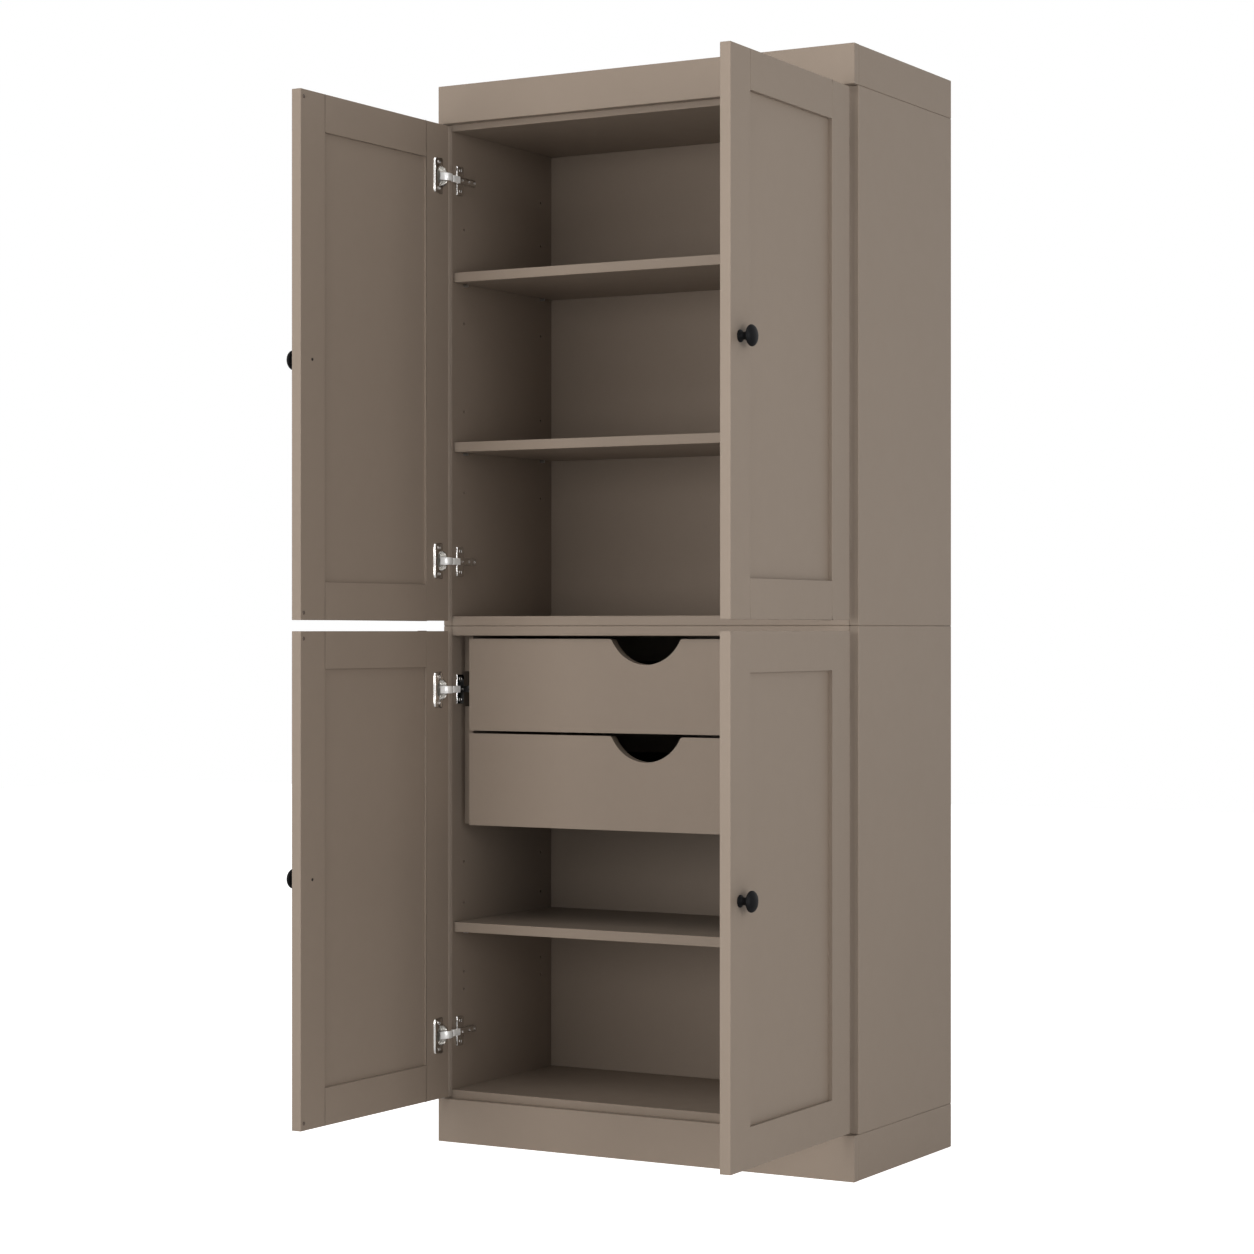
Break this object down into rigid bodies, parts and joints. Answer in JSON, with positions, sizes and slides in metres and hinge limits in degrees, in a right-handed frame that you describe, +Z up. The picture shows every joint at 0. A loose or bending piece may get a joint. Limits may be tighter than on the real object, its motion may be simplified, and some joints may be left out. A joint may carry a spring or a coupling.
{
  "type": "pantry cabinet",
  "caption": "Tall pantry cabinet in two stacked parts, with framed doors on concealed hinges, shelves, and drawers with finger scoops behind the lower doors.",
  "frame": {"origin": "on the floor, under the middle of the carcase, on the underside of the plinth's brace", "axes": "+Z up, +Y towards the wall behind the cabinet, +X to the right of someone facing the doors"},
  "size_m": [0.8648, 0.7738, 1.83],
  "materials": {
    "painted_board": "satin taupe paint on fibreboard",
    "drawer_board": "charcoal faced drawer board",
    "painted_hardboard": "satin taupe paint on hardboard",
    "hinge_nickel": "bright nickel plate",
    "slide_steel": "zinc plated steel",
    "fitting_steel": "zinc plated steel",
    "knob_black": "matt black"
  },
  "bodies": {
    "cabinet": {"cam_locks": "fitting_steel", "crown_front": "painted_board", "crown_sides": "painted_board", "drawer_spacers": "painted_board", "hinge_arms": "hinge_nickel", "hinge_plate_screws": "hinge_nickel", "hinge_plates": "hinge_nickel", "lower_back_panel": "painted_hardboard", "lower_bottom_panel": "painted_board", "lower_left_side": "painted_board", "lower_right_side": "painted_board", "lower_shelf": "painted_board", "lower_top_panel": "painted_board", "plinth_back": "painted_board", "plinth_brace": "painted_board", "plinth_front": "painted_board", "plinth_sides": "painted_board", "shelf_pins": "fitting_steel", "slide_outers": "slide_steel", "stack_bolts": "fitting_steel", "upper_back_panel": "painted_hardboard", "upper_bottom_panel": "painted_board", "upper_left_side": "painted_board", "upper_right_side": "painted_board", "upper_shelf_high": "painted_board", "upper_shelf_low": "painted_board", "upper_top_panel": "painted_board", "wall_bracket": "fitting_steel"},
    "lower_drawer": {"lower_drawer_back": "drawer_board", "lower_drawer_bottom": "drawer_board", "lower_drawer_front": "painted_board", "lower_drawer_sides": "drawer_board", "lower_drawer_slide_inners": "slide_steel"},
    "lower_drawer_slides": {"lower_drawer_slide_middles": "slide_steel"},
    "lower_left_door": {"lower_left_door_frame": "painted_board", "lower_left_door_panel": "painted_board", "lower_left_hinge_cups": "hinge_nickel", "lower_left_knob": "knob_black"},
    "lower_left_links": {"lower_left_hinge_links": "hinge_nickel"},
    "lower_right_door": {"lower_right_door_frame": "painted_board", "lower_right_door_panel": "painted_board", "lower_right_hinge_cups": "hinge_nickel", "lower_right_knob": "knob_black"},
    "lower_right_links": {"lower_right_hinge_links": "hinge_nickel"},
    "upper_drawer": {"upper_drawer_back": "drawer_board", "upper_drawer_bottom": "drawer_board", "upper_drawer_front": "painted_board", "upper_drawer_sides": "drawer_board", "upper_drawer_slide_inners": "slide_steel"},
    "upper_drawer_slides": {"upper_drawer_slide_middles": "slide_steel"},
    "upper_left_door": {"upper_left_door_frame": "painted_board", "upper_left_door_panel": "painted_board", "upper_left_hinge_cups": "hinge_nickel", "upper_left_knob": "knob_black"},
    "upper_left_links": {"upper_left_hinge_links": "hinge_nickel"},
    "upper_right_door": {"upper_right_door_frame": "painted_board", "upper_right_door_panel": "painted_board", "upper_right_hinge_cups": "hinge_nickel", "upper_right_knob": "knob_black"},
    "upper_right_links": {"upper_right_hinge_links": "hinge_nickel"}
  },
  "joints": [
    {"name": "upper_left_door_hinge", "type": "hinge", "parent": "cabinet", "child": "upper_left_door", "pos_m": [-0.4012, -0.1898, 0.894], "axis": [0, 0, -1], "range_deg": [-91, 15]},
    {"name": "upper_left_link_pivot", "type": "hinge", "parent": "cabinet", "child": "upper_left_links", "pos_m": [-0.38, -0.1755, 0.894], "axis": [0, 0, -1], "range_deg": [-104.65, 17.25]},
    {"name": "upper_right_door_hinge", "type": "hinge", "parent": "cabinet", "child": "upper_right_door", "pos_m": [0.4012, -0.1898, 0.894], "axis": [0, 0, 1], "range_deg": [-91, 15]},
    {"name": "upper_right_link_pivot", "type": "hinge", "parent": "cabinet", "child": "upper_right_links", "pos_m": [0.38, -0.1755, 0.894], "axis": [0, 0, 1], "range_deg": [-104.65, 17.25]},
    {"name": "upper_drawer_slide", "type": "slide", "parent": "cabinet", "child": "upper_drawer", "axis": [0, -1, 0], "range_m": [0, 0.22]},
    {"name": "upper_drawer_slide_middle", "type": "slide", "parent": "cabinet", "child": "upper_drawer_slides", "axis": [0, -1, 0], "range_m": [0, 0.11]},
    {"name": "lower_left_door_hinge", "type": "hinge", "parent": "cabinet", "child": "lower_left_door", "pos_m": [-0.4012, -0.1898, 0.894], "axis": [0, 0, -1], "range_deg": [-91, 15]},
    {"name": "lower_left_link_pivot", "type": "hinge", "parent": "cabinet", "child": "lower_left_links", "pos_m": [-0.38, -0.1755, 0.894], "axis": [0, 0, -1], "range_deg": [-104.65, 17.25]},
    {"name": "lower_right_door_hinge", "type": "hinge", "parent": "cabinet", "child": "lower_right_door", "pos_m": [0.4012, -0.1898, 0.894], "axis": [0, 0, 1], "range_deg": [-91, 15]},
    {"name": "lower_right_link_pivot", "type": "hinge", "parent": "cabinet", "child": "lower_right_links", "pos_m": [0.38, -0.1755, 0.894], "axis": [0, 0, 1], "range_deg": [-104.65, 17.25]},
    {"name": "lower_drawer_slide", "type": "slide", "parent": "cabinet", "child": "lower_drawer", "axis": [0, -1, 0], "range_m": [0, 0.22]},
    {"name": "lower_drawer_slide_middle", "type": "slide", "parent": "cabinet", "child": "lower_drawer_slides", "axis": [0, -1, 0], "range_m": [0, 0.11]}
  ],
  "couplings": [
    {"joint": "upper_left_link_pivot", "follows": "upper_left_door_hinge", "ratio": 1.15},
    {"joint": "upper_right_link_pivot", "follows": "upper_right_door_hinge", "ratio": 1.15},
    {"joint": "upper_drawer_slide_middle", "follows": "upper_drawer_slide", "ratio": 0.5},
    {"joint": "lower_left_link_pivot", "follows": "lower_left_door_hinge", "ratio": 1.15},
    {"joint": "lower_right_link_pivot", "follows": "lower_right_door_hinge", "ratio": 1.15},
    {"joint": "lower_drawer_slide_middle", "follows": "lower_drawer_slide", "ratio": 0.5}
  ]
}
